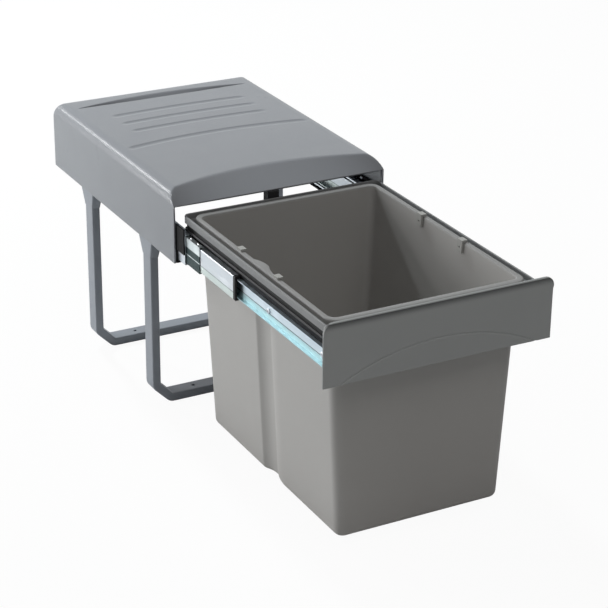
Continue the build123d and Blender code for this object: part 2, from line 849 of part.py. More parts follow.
# Frame screws: sunk in the frame's front bar and driven into the panel
frame_screw_seat = frame_bar_inside - frame_head_height - screw_clearance
frame_screw = pan_screw(large_shank, large_head, frame_screw_seat - panel_back + panel_screw_bite)
with BuildPart() as frame_screws:
    with Locations(Location((-frame_screw_x, frame_screw_seat, frame_screw_level), (-90, 0, 0))):
        add(frame_screw)
save_both_sides(frame_screws, "frame_screws")


# Rear stop: a black block on the frame's rear bar, with its screws sunk from behind
stop_screw_seat = frame_rear + stop_length / 3
with BuildPart() as rear_stop:
    with Locations((-stop_offset, frame_rear, stop_top)):
        Box(stop_width, stop_length, stop_height, align=(Align.CENTER, Align.MIN, Align.MAX))
    fillet(rear_stop.edges().filter_by(Axis.Z), frame_border / 2)
    chamfer(rear_stop.faces().sort_by(Axis.Z)[-1].edges(), frame_border / 4)
    with Locations(*[Plane((x, stop_rear, z), z_dir=(0, 1, 0)) for x, z in stop_screw_places]):
        CounterBoreHole(
            small_shank / 2 + screw_clearance, small_head / 2 + screw_clearance, stop_rear - stop_screw_seat
        )
save(rear_stop, "rear_stop")


# Stop screws: through the rear stop into the frame's rear bar
stop_screw = pan_screw(small_shank, small_head, stop_screw_seat - frame_rear + stop_screw_bite)
with BuildPart() as stop_screws:
    with Locations(*[Location((x, stop_screw_seat, z), (-90, 0, 0)) for x, z in stop_screw_places]):
        add(stop_screw)
save(stop_screws, "stop_screws")


# Rear cross brace: a folded plate between the carrier rails
brace_bottom = skirt_bottom + brace_bottom_gap
with BuildPart() as cross_brace:
    with Locations((0, brace_front, brace_bottom)):
        Box(2 * slide_face, rail_metal, brace_height, align=(Align.CENTER, Align.MIN, Align.MIN))
    with Locations((0, brace_front, brace_bottom + brace_height)):
        Box(2 * slide_face, brace_flange, rail_metal, align=(Align.CENTER, Align.MIN, Align.MAX))
    for side in (-1, 1):
        with Locations((side * (slide_face - rail_metal / 2), brace_front, brace_bottom)):
            Box(
                rail_metal,
                brace_tab + rail_metal,
                carrier_top - brace_bottom,
                align=(Align.CENTER, Align.MIN, Align.MIN),
            )
        with Locations(
            *[Plane((side * slide_face, brace_screw_y, z), z_dir=(side, 0, 0)) for z in brace_screw_levels]
        ):
            Hole(large_shank / 2 + screw_clearance, rail_metal)
save(cross_brace, "rear_cross_brace")


# Brace screws: from inside, through the brace's tabs into the carrier webs
brace_screw = pan_screw(large_shank, large_head, rail_metal + carrier_metal)
with BuildPart() as brace_screws:
    with Locations(
        *[Location((rail_metal - slide_face, brace_screw_y, z), (0, 90, 0)) for z in brace_screw_levels]
    ):
        add(brace_screw)
save_both_sides(brace_screws, "brace_screws")


def bucket_section(level, inset):
    """The bucket's rounded plan at one level, moved in from its outside by inset."""
    share = (rim_top - level) / (rim_top - bucket_bottom)
    half = body_half_width - share * bucket_side_draft - inset
    front = body_front + share * bucket_front_draft + inset
    rear = body_rear - share * bucket_rear_draft - inset
    with BuildSketch(Plane((0, (front + rear) / 2, level))) as plan:
        RectangleRounded(2 * half, rear - front, bucket_corner - inset)
    return plan.sketch


def grip_section(level, inset):
    """The grip hollow's tapered plan at one level, moved into the bucket by inset."""
    share = (rim_top - level) / (rim_top - bucket_bottom)
    wall = -(body_half_width - share * bucket_side_draft)
    middle = body_middle - grip_setback
    with BuildSketch(Plane.XY.offset(level)) as plan:
        with BuildLine():
            Polyline(
                (wall - margin, middle - grip_width / 2 - inset),
                (wall, middle - grip_width / 2 - inset),
                (wall + grip_depth + inset, middle - grip_floor_width / 2 - inset),
                (wall + grip_depth + inset, middle + grip_floor_width / 2 + inset),
                (wall, middle + grip_width / 2 + inset),
                (wall - margin, middle + grip_width / 2 + inset),
                close=True,
            )
        make_face()
    return plan.sketch


# Grip hollow: in the left side alone, drawn as it cuts the outside and the inside
with BuildPart() as grip_outside:
    loft([grip_section(bucket_bottom - margin, 0), grip_section(rim_top - rim_metal, 0)])
with BuildPart() as grip_inside:
    loft([grip_section(bucket_bottom - margin, bucket_wall), grip_section(rim_top + margin, bucket_wall)])


# Inside of the bucket
with BuildPart() as bucket_inside:
    floor_plan = bucket_section(bucket_bottom + bucket_wall, bucket_wall)
    loft([floor_plan, bucket_section(rim_top + margin, bucket_wall)])
    fillet(bucket_inside.faces().sort_by(Axis.Z)[0].edges(), bucket_base_round - bucket_wall)
    add(grip_inside.part, mode=Mode.SUBTRACT)


def rim_plan(inset):
    """The rim's outline in plan, moved in by inset."""
    with BuildSketch(Plane((0, (rim_front + rim_rear) / 2, 0))) as plan:
        RectangleRounded(
            2 * (rim_half_width - inset), rim_rear - rim_front - 2 * inset, bucket_corner + rim_width - inset
        )
    return plan.sketch


# Bucket: a drafted tub with a turned-down rim that hangs on the frame's ledge
with BuildPart() as bucket:
    loft([bucket_section(bucket_bottom, 0), bucket_section(rim_top, 0)])
    fillet(bucket.faces().sort_by(Axis.Z)[0].edges(), bucket_base_round)
    with BuildSketch(Plane.XY.offset(rim_top)):
        add(rim_plan(0))
    extrude(amount=-rim_metal)
    with BuildSketch(Plane.XY.offset(ledge)):
        add(rim_plan(0))
        add(rim_plan(bucket_wall), mode=Mode.SUBTRACT)
    extrude(amount=rim_height)
    add(grip_outside.part, mode=Mode.SUBTRACT)
    add(bucket_inside.part, mode=Mode.SUBTRACT)
save(bucket, "bucket")


# Bag clips: saddles over the rim, two on each long side, with a pierced leg inside the wall
clip_middle = body_middle + clip_offset
clip_places = [clip_middle - clip_spacing / 2, clip_middle + clip_spacing / 2]
wall_lean = bucket_side_draft / (rim_top - bucket_bottom)
leg_head = -(body_half_width - bucket_wall - clip_fit)
leg_foot = leg_head + clip_leg * wall_lean
leg_hole_level = rim_top - clip_leg / 2
with BuildPart() as bag_clips:
    for place in clip_places:
        with BuildSketch(Plane.XZ.offset(-place)):
            with BuildLine():
                Polyline(
                    (clip_reach - rim_half_width, rim_top),
                    (clip_reach - rim_half_width, rim_top + clip_wall),
                    (leg_head + clip_wall, rim_top + clip_wall),
                    (leg_foot + clip_wall, rim_top - clip_leg),
                    (leg_foot, rim_top - clip_leg),
                    (leg_head, rim_top),
                    close=True,
                )
            make_face()
        extrude(amount=clip_length / 2, both=True)
        with Locations(Plane((leg_foot + 2 * clip_wall, place, leg_hole_level), z_dir=(1, 0, 0))):
            Hole(clip_hole / 2, 3 * clip_wall)
save_both_sides(bag_clips, "bag_clips")
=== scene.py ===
"""Pull-out waste bin for a kitchen base unit: finishes, moulded skins, studio and camera."""
import math

import bpy
import numpy as np
from mathutils import Matrix, Vector


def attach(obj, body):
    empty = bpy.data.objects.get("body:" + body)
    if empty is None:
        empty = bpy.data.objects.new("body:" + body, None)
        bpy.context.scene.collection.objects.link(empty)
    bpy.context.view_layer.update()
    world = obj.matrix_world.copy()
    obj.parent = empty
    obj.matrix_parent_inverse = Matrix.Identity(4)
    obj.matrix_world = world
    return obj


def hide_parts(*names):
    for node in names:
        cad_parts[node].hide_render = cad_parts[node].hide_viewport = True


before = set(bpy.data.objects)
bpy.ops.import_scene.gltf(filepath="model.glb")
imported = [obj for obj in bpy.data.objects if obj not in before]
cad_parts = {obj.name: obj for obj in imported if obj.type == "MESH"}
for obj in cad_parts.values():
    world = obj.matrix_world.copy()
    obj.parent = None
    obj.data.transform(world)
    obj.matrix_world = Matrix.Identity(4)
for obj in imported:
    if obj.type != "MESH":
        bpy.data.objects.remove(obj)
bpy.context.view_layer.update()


# Floor hoops: two steel tubes of flat section bent into a U, with a satin blue-grey powder coat.
# Their bars lie on the cabinet floor and are screwed to it, and their legs carry all the rest.
class Shade:
    """A socket of a material's node tree. Arithmetic with it adds Math nodes."""

    def __init__(self, tree, socket):
        self.tree = tree
        self.socket = socket

    def node(self, kind, settings, inputs, output=0):
        """Adds any node: its type, its settings, its inputs by name or number, and the output wanted."""
        made = self.tree.nodes.new(kind)
        for key, value in settings.items():
            setattr(made, key, value)
        for key, value in inputs.items():
            if isinstance(value, Shade):
                self.tree.links.new(value.socket, made.inputs[key])
            else:
                made.inputs[key].default_value = value
        return Shade(self.tree, made.outputs[output])

    def math(self, operation, first, second=0.0):
        return self.node("ShaderNodeMath", {"operation": operation}, {0: first, 1: second})

    def __add__(self, other):
        return self.math("ADD", self, other)

    def __sub__(self, other):
        return self.math("SUBTRACT", self, other)

    def __rsub__(self, other):
        return self.math("SUBTRACT", other, self)

    def __mul__(self, other):
        return self.math("MULTIPLY", self, other)

    __radd__ = __add__
    __rmul__ = __mul__

    def above(self, edge, softness):
        """0 below edge, 1 above it, with a ramp as wide as softness between them."""
        sockets = {"Value": self, "From Min": edge - softness / 2, "From Max": edge + softness / 2}
        return self.node("ShaderNodeMapRange", {"interpolation_type": "SMOOTHSTEP"}, sockets)

    def blend(self, first, second):
        """The colour first where this value is 0, and second where it is 1."""
        return self.node("ShaderNodeMix", {"data_type": "RGBA"}, {0: self, 6: first, 7: second}, 2)

    def stretched(self, x, y, z):
        """These coordinates times a size along each axis."""
        return self.node("ShaderNodeMapping", {}, {"Vector": self, "Scale": (x, y, z)})

    def clouds(self, scale, detail=2.0):
        """Soft noise over these coordinates, with scale blobs to the metre."""
        return self.node("ShaderNodeTexNoise", {}, {"Vector": self, "Scale": scale, "Detail": detail})

    def relief(self, depth):
        """A bumped normal from this height, with depth in metres for a height of 1."""
        return self.node("ShaderNodeBump", {}, {"Strength": 1.0, "Distance": depth, "Height": self})

    def feed(self, shader, name):
        self.tree.links.new(self.socket, shader.inputs[name])


def new_finish(name, **constants):
    """A material with constants set on its shader, that shader, and the place on the piece in metres."""
    material = bpy.data.materials.new(name)
    material.use_nodes = True
    tree = material.node_tree
    shader = tree.nodes["Principled BSDF"]
    for key, value in constants.items():
        shader.inputs[key.replace("_", " ")].default_value = value
    return material, shader, Shade(tree, tree.nodes.new("ShaderNodeTexCoord").outputs["Object"])


def coat(material, *nodes):
    """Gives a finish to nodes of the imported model."""
    for name in nodes:
        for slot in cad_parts[name].material_slots:
            slot.material = material


def powder_coat(name, tone, worn_tone, roughness, gloss=0.5):
    """Baked powder: faint clouds of tone, orange peel of 2 mm, and specks where the coat is thin."""
    material, shader, place = new_finish(name, Specular_IOR_Level=gloss)
    specks = place.clouds(900.0, 1.0).above(0.68, 0.06)
    thin = place.clouds(14.0, 3.0).above(0.55, 0.3)
    (specks * thin * 0.6 + thin * 0.25).blend((*tone, 1.0), (*worn_tone, 1.0)).feed(shader, "Base Color")
    peel = place.clouds(480.0, 1.0)
    (roughness + peel * 0.12 + thin * 0.06).feed(shader, "Roughness")
    peel.relief(0.0002).feed(shader, "Normal")
    return material


hoop_finish = powder_coat("hoop_powder", (0.25, 0.27, 0.305), (0.28, 0.30, 0.335), 0.36)
coat(hoop_finish, "front_hoop", "rear_hoop")


# Leg sockets: flared collars round the tops of the legs, in the hoops' own coat, each with a spigot inside.
# A screw comes down through the carrier rail into the spigot.
coat(hoop_finish, *[f"{side}_{end}_leg_socket" for side in ("left", "right") for end in ("front", "rear")])


# Carrier rails and rear brace: angles and a folded plate of black coated steel inside the cover.
# The rails stand on the sockets, hold the cover by its skirts and carry the fixed slides.
black_steel = powder_coat("black_steel", (0.008, 0.008, 0.009), (0.014, 0.014, 0.015), 0.55, 0.12)
coat(black_steel, "left_carrier_rail", "right_carrier_rail", "rear_cross_brace")


# Top cover: one grey moulding with a sloped, arched lip, shallow grooves, a rear scoop and open skirts.
# It hangs over the carrier rails and is screwed to their webs from inside.
grain_size = 1100.0
grain_depth = 0.00012


def moulded(name, tone, dark_tone, roughness, gloss=0.42, painted_shades=()):
    """Injection-moulded plastic: broad clouds of tone, fine spark-eroded grain and uneven gloss.

    Each painted shade has a level in metres, a softness and a tone painted above the level in place of
    shade.
    """
    material, shader, place = new_finish(name, Specular_IOR_Level=gloss)
    broad = place.clouds(7.0, 3.0)
    fine = place.clouds(grain_size, 2.0)
    colour = (broad * 0.7 + fine * 0.3).blend((*dark_tone, 1.0), (*tone, 1.0))
    height = place.node("ShaderNodeSeparateXYZ", {}, {"Vector": place}, "Z")
    for level, softness, painted_tone in painted_shades:
        colour = height.above(level, softness).blend(colour, (*painted_tone, 1.0))
    colour.feed(shader, "Base Color")
    (roughness + place.clouds(22.0, 4.0) * 0.14 + fine * 0.08).feed(shader, "Roughness")
    fine.relief(grain_depth).feed(shader, "Normal")
    return material


sharp_angle = math.radians(40)


def skin(name, grids, finish, node, body, lids=False):
    """A smooth mesh that stands for a node, through grids of points in millimetres.

    Each four neighbours make a face, which looks outwards where columns run anticlockwise round rows
    that rise. Points that coincide are welded, and lids closes the first and the last row of the last grid.
    """
    quads = []
    start = 0
    for grid in grids:
        number = start + np.arange(grid.shape[0] * grid.shape[1]).reshape(grid.shape[:2])
        around = [number[:-1, :-1], number[:-1, 1:], number[1:, 1:], number[1:, :-1]]
        quads.append(np.stack(around, -1).reshape(-1, 4))
        start += number.size
    points = np.concatenate([grid.reshape(-1, 3) for grid in grids])
    places, weld = np.unique(points.round(3), axis=0, return_inverse=True)
    weld = weld.reshape(-1)
    faces = weld[np.concatenate(quads)].tolist()
    if lids:
        faces += [weld[number[0, -2::-1]].tolist(), weld[number[-1, :-1]].tolist()]
    mesh = bpy.data.meshes.new(name)
    mesh.from_pydata((places / 1000).tolist(), [], faces)
    mesh.polygons.foreach_set("use_smooth", np.ones(len(mesh.polygons), bool))
    mesh.set_sharp_from_angle(angle=sharp_angle)
    mesh.materials.append(finish)
    piece = bpy.data.objects.new(name, mesh)
    bpy.context.scene.collection.objects.link(piece)
    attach(piece, body)
    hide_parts(node)
    return piece


def ease(share):
    """A soft step: 0 up to 0, 1 from 1 on, and 3 s squared less 2 s cubed between."""
    held = np.clip(share, 0.0, 1.0)
    return held * held * (3 - 2 * held)


cover_half = 170.0
cover_front = -215.75
cover_rear = 239.25
cover_top = 372.0
skirt_bottom = 268.0
rear_wall_bottom = 312.0
side_round = 18.0
rear_round = 15.0
lip_height = 18.0
lip_depth = 56.0
arch_radius = 450.0
arch_end = arch_radius - math.sqrt(arch_radius**2 - cover_half**2)
crease_softness = 1.6
cover_wall = 2.5
short_groove_half = 105.0
short_groove_setbacks = (273.0, 311.0, 349.0)
short_groove_bulge = 4.0
short_groove_depth = 1.1
short_groove_width = 14.0
long_groove_half = 141.0
long_groove_setback = 204.0
long_groove_bulge = 14.0
long_groove_depth = 1.2
long_groove_width = 15.0
scoop_half = 146.0
scoop_setback = 408.5
scoop_rear_bulge = 20.0
scoop_front_bulge = 3.0
scoop_depth = 5.5


def arch(x):
    """The drop of a circle of the lip's radius at x, as a share of its drop at the cover's sides."""
    return (arch_radius - np.sqrt(arch_radius**2 - x * x)) / arch_end


def groove(x, y, half, setback, bulge, depth, width):
    """A bowed groove: a parabola across, as deep as depth on a parabola in plan that bulges to the rear."""
    line = cover_front + setback + bulge * (1 - (x / half) ** 2)
    away = np.hypot(np.maximum(np.abs(x) - half, 0.0), y - line)
    return depth * np.maximum(1 - (2 * away / width) ** 2, 0.0)


def scoop(x, y):
    """A crescent between two parabolas: a soft step down in its front third, and a soft step up behind."""
    swell = np.maximum(1 - (x / scoop_half) ** 2, 0.002)
    from_front = y - cover_front - scoop_setback + scoop_front_bulge * swell
    share = from_front / ((scoop_rear_bulge + scoop_front_bulge) * swell)
    sinking = 0.35
    sunk = ease(share / sinking) * ease((1 - share) / (1 - sinking))
    return scoop_depth * np.minimum(swell * 4, 1.0) * sunk


def cover_height(x, y):
    """The cover's top: the soft lesser of a hood and the lip's slope, less the grooves and the scoop.

    The hood is flat with quarter rounds at its sides and rear. The slope is ruled from a straight front edge
    to an arch.
    """
    over_side = np.maximum(np.abs(x) - cover_half + side_round, 0.0)
    over_rear = np.maximum(y - cover_rear + rear_round, 0.0)
    side_drop = side_round - np.sqrt(side_round**2 - over_side**2)
    rear_drop = rear_round - np.sqrt(rear_round**2 - over_rear**2)
    hood = cover_top - np.hypot(side_drop, rear_drop)
    slope = cover_top - lip_height + lip_height * (y - cover_front) / (lip_depth - arch_end * arch(x))
    share = np.clip(0.5 + 0.5 * (slope - hood) / crease_softness, 0.0, 1.0)
    height = slope + share * (hood - slope) - crease_softness * share * (1 - share)
    for setback in short_groove_setbacks:
        height = height - groove(
            x, y, short_groove_half, setback, short_groove_bulge, short_groove_depth, short_groove_width
        )
    height = height - groove(
        x, y, long_groove_half, long_groove_setback, long_groove_bulge, long_groove_depth, long_groove_width
    )
    return height - scoop(x, y)


# Columns of the cover's top: quarter rounds at both sides, and even steps between them.
round_steps = np.linspace(0.0, math.pi / 2, 10)
side_steps = cover_half - side_round * (1 - np.cos(round_steps))
inner_steps = np.linspace(side_round - cover_half, cover_half - side_round, 96)
across = np.concatenate([-side_steps, inner_steps[1:-1], side_steps[::-1]])
# Its rows as setbacks from the front, each run by first, last and count: close at crease, grooves and scoop.
edge_step = 0.6
flat_end = cover_rear - cover_front - rear_round
runs = [(0, edge_step, 2), (edge_step, 50, 8), (50, 62, 9), (62, 209, 12), (209, 227, 25), (227, 268, 6)]
runs += [(268, 286, 25), (286, 306, 5), (306, 324, 25), (324, 344, 5), (344, 362, 25), (362, 398, 6)]
runs += [(398, 432, 30), (432, flat_end, 3)]
along = np.concatenate([np.linspace(first, last, count)[:-1] for first, last, count in runs])
along = np.concatenate([along, flat_end + rear_round * np.sin(round_steps)])
# The rows bow with the crease, the grooves and the scoop: how far each drops forward at the sides.
bow_setbacks = (0, lip_depth, 218, 277, 353, 398, 432, flat_end)
bow_drops = (0, 33.3, 19.8, 10.1, 10.1, 3, 3, 0)
bow = np.interp(along, bow_setbacks, bow_drops)
top_x = np.broadcast_to(across, (along.size, across.size))
top_y = cover_front + along[:, None] - bow[:, None] * arch(top_x)
top_z = cover_height(top_x, top_y)
# Levels down the skirts and the rear wall, with one close to each free edge, which keeps the edge crisp.
skirt_levels = np.array([
    skirt_bottom, skirt_bottom + edge_step, 290.0,
    rear_wall_bottom, rear_wall_bottom + edge_step, 326.0, 340.0,
])
skirt_z = np.broadcast_to(skirt_levels, (along.size, skirt_levels.size))
skirt_x = np.full_like(skirt_z, cover_half)
left_y = np.broadcast_to(top_y[:, :1], skirt_z.shape)
right_y = np.broadcast_to(top_y[:, -1:], skirt_z.shape)
hood_grid = np.stack([
    np.hstack([-skirt_x, top_x, skirt_x]),
    np.hstack([left_y, top_y, right_y]),
    np.hstack([skirt_z, top_z, skirt_z[:, ::-1]]),
], -1)
wall_levels = skirt_levels[skirt_levels >= rear_wall_bottom][::-1]
wall_z = np.vstack([top_z[-1:], np.broadcast_to(wall_levels[:, None], (wall_levels.size, across.size))])
wall_grid = np.stack([np.broadcast_to(across, wall_z.shape), np.full_like(wall_z, cover_rear), wall_z], -1)
cover_finish = moulded("cover_grey", (0.232, 0.244, 0.266), (0.211, 0.222, 0.244), 0.2)
cover = skin("moulded_cover", [hood_grid, wall_grid], cover_finish, "top_cover", "housing")
shell = cover.modifiers.new("wall", "SOLIDIFY")
shell.thickness = cover_wall / 1000
shell.offset = -1.0


# Slides: three cold-rolled members a side, zinc plated, with rolling marks along their length.
# The outer one is riveted to the carrier rail and the inner one screwed to the carriage's side rail.
def zinc_plate(name, tone, blue_tone, roughness, bands=()):
    """Bright zinc: blue and white clouds, fine rolling streaks along Y and small dull blotches.

    Each band has a lower and an upper level in metres and a tone that the zinc takes between them.
    """
    material, shader, place = new_finish(name, Metallic=1.0)
    streaks = place.stretched(900.0, 5.0, 900.0).clouds(1.0, 3.0)
    blotch = place.clouds(60.0, 4.0)
    height = place.node("ShaderNodeSeparateXYZ", {}, {"Vector": place}, "Z")
    colour = (blotch * 0.6 + streaks * 0.4).blend((*blue_tone, 1.0), (*tone, 1.0))
    band_softness = 0.0008
    for low, high, band_tone in bands:
        within = height.above(low, band_softness) - height.above(high, band_softness)
        colour = within.blend(colour, (*band_tone, 1.0))
    colour.feed(shader, "Base Color")
    (roughness + streaks * 0.12 + blotch.above(0.6, 0.2) * 0.1).feed(shader, "Roughness")
    streaks.relief(0.00008).feed(shader, "Normal")
    return material


zinc_finish = zinc_plate("zinc_steel", (0.70, 0.71, 0.72), (0.58, 0.64, 0.72), 0.28)
# Painted shade on the inner members: a darker, bluer lower band for the shaded lower race, and a dark line
# for its crease.
inner_painted_shade = [(0.278, 0.2925, (0.42, 0.57, 0.60)), (0.2919, 0.2932, (0.12, 0.14, 0.15))]
inner_finish = zinc_plate("inner_zinc", (0.60, 0.66, 0.70), (0.52, 0.62, 0.70), 0.34, inner_painted_shade)
# Painted shade on the middle members: a darker lower band, and a dark line for the shadow in the rolled
# groove above it.
middle_painted_shade = [(0.274, 0.2892, (0.54, 0.60, 0.59)), (0.2888, 0.2902, (0.25, 0.29, 0.29))]
middle_finish = zinc_plate("middle_zinc", (0.60, 0.62, 0.64), (0.53, 0.58, 0.64), 0.32, middle_painted_shade)
for side in ("left", "right"):
    coat(zinc_finish, f"{side}_outer_slide")
    coat(middle_finish, f"{side}_middle_slide")
    coat(inner_finish, f"{side}_inner_slide")


# Ball cages and balls: pressed strips of zinc plated steel that space two rows of polished steel balls.
# They roll between the members, held by nothing else. The cages are dark in two bands, with a bright line
# between.
cage_bands = [(0.270, 0.2905, (0.03, 0.05, 0.052)), (0.2918, 0.302, (0.03, 0.05, 0.052))]
cage_finish = zinc_plate("cage_zinc", (0.62, 0.66, 0.66), (0.50, 0.56, 0.58), 0.34, cage_bands)
ball_finish = zinc_plate("ball_steel", (0.86, 0.86, 0.88), (0.80, 0.81, 0.84), 0.06)
for side in ("left", "right"):
    for member in ("outer", "inner"):
        coat(cage_finish, f"{side}_{member}_ball_cage")
        coat(ball_finish, f"{side}_{member}_balls")


# Slide bumpers: end pieces of black plastic, injection moulded.
# They are pushed on the fronts of the middle members and cap their rolled ends.
black_plastic = moulded("black_plastic", (0.014, 0.014, 0.015), (0.009, 0.009, 0.010), 0.42, gloss=0.2)
coat(black_plastic, "left_middle_bumper", "right_middle_bumper")


# Side rails and panel brackets: folded steel angles in the carrier rails' black coat.
# The side rails are screwed to the inner slides and to the frame from below. The brackets hold the panel.
coat(black_steel, *[f"{side}_{p}" for side in ("left", "right") for p in ("side_rail", "panel_bracket")])


# Carriage frame: a grey moulded ring with a bead, a shadow groove, a ledge and a raised border.
# It is screwed down on the side rails, and the bucket's rim rests on its ledge.
def round_path(arc_count, side_count):
    """Once round a rounded rectangle, anticlockwise from its right side's rear end, closed.

    Gives the place on the square of corner centres, from -1 to 1, and the outward direction.
    """
    arc = np.linspace(0.0, 1.0, arc_count)
    side = np.linspace(0.0, 1.0, side_count)[1:-1]
    turn = np.concatenate([arc, np.ones_like(side)])
    run = np.concatenate([np.zeros_like(arc), side])
    corners = np.array([(1, 1), (-1, 1), (-1, -1), (1, -1), (1, 1)], float)
    square = corners[:4, None] + run[None, :, None] * (corners[1:] - corners[:4])[:, None]
    angle = (np.arange(4)[:, None] + turn) * math.pi / 2
    square = square.reshape(-1, 2)
    outward = np.stack([np.cos(angle), np.sin(angle)], -1).reshape(-1, 2)
    return np.vstack([square, square[:1]]), np.vstack([outward, outward[:1]])


def round_plan(path, half, front, rear, corner):
    """Rounded rectangles in plan, one to a row: centres on the path's square, plus corner outwards."""
    square, outward = path
    x = square[:, 0] * (half - corner)[:, None] + outward[:, 0] * corner[:, None]
    reach = ((rear - front) / 2 - corner)[:, None]
    y = ((front + rear) / 2)[:, None] + square[:, 1] * reach + outward[:, 1] * corner[:, None]
    return x, y


def shade_painted(name, tone, shade_layers, roughness):
    """Moulded plastic of one tone, with painted shade below levels: each has an upper level in metres and a
    tone.
    """
    material, shader, place = new_finish(name, Specular_IOR_Level=0.2)
    height = place.node("ShaderNodeSeparateXYZ", {}, {"Vector": place}, "Z")
    fine = place.clouds(grain_size, 2.0)
    dark_tone = [0.7 * part for part in tone]
    colour = (place.clouds(7.0, 3.0) * 0.12 + fine * 0.08).blend((*tone, 1.0), (*dark_tone, 1.0))
    layer_softness = 0.0004
    for level, shade_layer_tone in shade_layers:
        colour = height.above(level, layer_softness).blend((*shade_layer_tone, 1.0), colour)
    colour.feed(shader, "Base Color")
    (roughness + fine * 0.12).feed(shader, "Roughness")
    fine.relief(grain_depth).feed(shader, "Normal")
    return material


frame_half = 157.0
frame_front = -641.75
frame_rear = -217.75
frame_round = 9.0
frame_inner_round = 1.0
# Painted shade: the shadow groove is painted near black, and the bead below it dark grey.
frame_painted_shade = [(0.3307, (0.009, 0.009, 0.010)), (0.3232, (0.045, 0.045, 0.047))]
frame_finish = shade_painted("frame_grey", (0.235, 0.24, 0.245), frame_painted_shade, 0.42)
# The frame's section from its underside round: inset at the sides, inset at the ends, and height.
section = np.array([
    (13.0, 17.0, 319.5), (1.2, 1.2, 319.5), (0.7, 0.7, 319.7), (0.5, 0.5, 320.2), (0.5, 0.5, 322.4),
    (0.7, 0.7, 322.8), (1.2, 1.2, 323.0), (3.0, 3.0, 323.0), (3.0, 3.0, 330.5), (0.9, 0.9, 330.5),
    (0.3, 0.3, 330.7), (0.0, 0.0, 331.3), (0.0, 0.0, 340.4), (0.2, 0.2, 341.1), (0.7, 0.7, 341.5),
    (1.8, 1.8, 341.5), (2.3, 2.3, 341.1), (2.5, 2.5, 340.4), (2.5, 2.5, 333.5), (13.0, 17.0, 333.5),
    (13.0, 17.0, 319.5),
])
side_inset, end_inset, frame_z = section.T
frame_path = round_path(9, 40)
frame_corner = np.maximum(frame_round - side_inset, frame_inner_round)
frame_x, frame_y = round_plan(
    frame_path, frame_half - side_inset, frame_front + end_inset, frame_rear - end_inset, frame_corner
)
frame_grid = np.stack([frame_x, frame_y, np.broadcast_to(frame_z[:, None], frame_x.shape)], -1)
skin("moulded_frame", [frame_grid], frame_finish, "carriage_frame", "carriage")


# Front panel: a grey moulding with a pulled-forward top lip, coved below it, and a shallow finger dish.
# It is screwed to the brackets and to the frame's front bar through bosses behind it.
panel_half = 170.0
panel_bottom = 264.0
panel_top = 353.0
panel_front = -657.25
plate_back = -653.25
panel_round = 13.0
low_round = 1.0
least_round = 0.2
lip_band = 1.8
cove_height = 12.0
cove_depth = 1.6
dish_depth = 0.9
arc_rise = 36.0
arc_radius = 318.0
line_half = 1.8
line_depth = 1.1


def panel_recess(x, z):
    """How far the face lies behind the lip: a cove, a dish and a fine line together.

    The cove deepens as one less the cube of what is left of its height. The dish deepens as a parabola below
    an arc, along which runs the line, whose section is a squared cosine.
    """
    beyond = np.maximum(np.abs(x) - panel_half + panel_round, 0.0)
    below = panel_top - panel_round + np.sqrt(panel_round**2 - beyond**2) - z
    cove = cove_depth * (1 - (1 - np.clip((below - lip_band) / cove_height, 0.0, 1.0)) ** 3)
    inside = panel_bottom + arc_rise - arc_radius + np.sqrt(arc_radius**2 - x * x) - z
    share = np.clip(inside / arc_rise, 0.0, 1.0)
    line = np.cos(np.minimum(np.abs(inside) / line_half, 1.0) * math.pi / 2) ** 2
    return cove + dish_depth * share * (2 - share) + line_depth * line


# The panel's back from its middle outwards, with a stiffening rim: inset from the outline, and place in Y.
panel_edge = plate_back - 0.25
edge_lines = np.array([
    (40.0, plate_back), (11.0, plate_back), (11.0, frame_front), (8.0, frame_front), (8.0, plate_back),
    (0.3, plate_back), (0.0, panel_edge),
])
# Its face from the outline inwards: a rounded edge, then rows that are close in the cove and wider below.
face_insets = np.concatenate([[0.0, 0.1, 0.4, 0.9], np.arange(1.4, 18.0, 0.7), np.arange(18.0, 44.0, 1.0)])
edge_rounds = (1.1, 0.6, 0.2)
face_rounds = np.zeros(face_insets.size)
face_rounds[:len(edge_rounds)] = edge_rounds
panel_insets = np.concatenate([edge_lines[:, 0], face_insets])
panel_path = round_path(9, 230)
top_corner = np.maximum(panel_round - panel_insets, least_round)[:, None]
low_corner = np.maximum(low_round - panel_insets, least_round)[:, None]
panel_corner = np.where(panel_path[0][:, 1] > 0, top_corner, low_corner)
panel_x = panel_path[0][:, 0] * (panel_half - panel_insets[:, None] - panel_corner)
panel_x = panel_x + panel_path[1][:, 0] * panel_corner
panel_reach = (panel_top - panel_bottom) / 2 - panel_insets[:, None] - panel_corner
panel_z = (panel_top + panel_bottom) / 2 + panel_path[0][:, 1] * panel_reach
panel_z = panel_z + panel_path[1][:, 1] * panel_corner
face_y = panel_front + face_rounds[:, None] + panel_recess(panel_x, panel_z)[len(edge_lines):]
edge_y = np.broadcast_to(edge_lines[:, 1:], (len(edge_lines), panel_x.shape[1]))
panel_grid = np.stack([panel_x, np.vstack([edge_y, np.minimum(face_y, panel_edge)]), panel_z], -1)
# Bosses behind the panel: one pair to each bracket, and one to each screw of the frame's front bar.
boss_turn = -np.linspace(0.0, 2 * math.pi, 25)
boss_radius = 5.3
boss_bore = 2.1
boss_rings = np.array([
    (boss_radius, plate_back), (boss_radius, frame_front),
    (boss_bore, frame_front), (boss_bore, plate_back),
])
boss_unit = np.stack([
    boss_rings[:, :1] * np.cos(boss_turn),
    np.broadcast_to(boss_rings[:, 1:], (len(boss_rings), boss_turn.size)),
    boss_rings[:, :1] * np.sin(boss_turn),
], -1)
boss_places = [(x, z) for x in (-135.3, 135.3) for z in (288.5, 303.5)]
boss_places += [(-104.5, 326.5), (104.5, 326.5)]
boss_grids = [boss_unit + np.array([x, 0.0, z]) for x, z in boss_places]
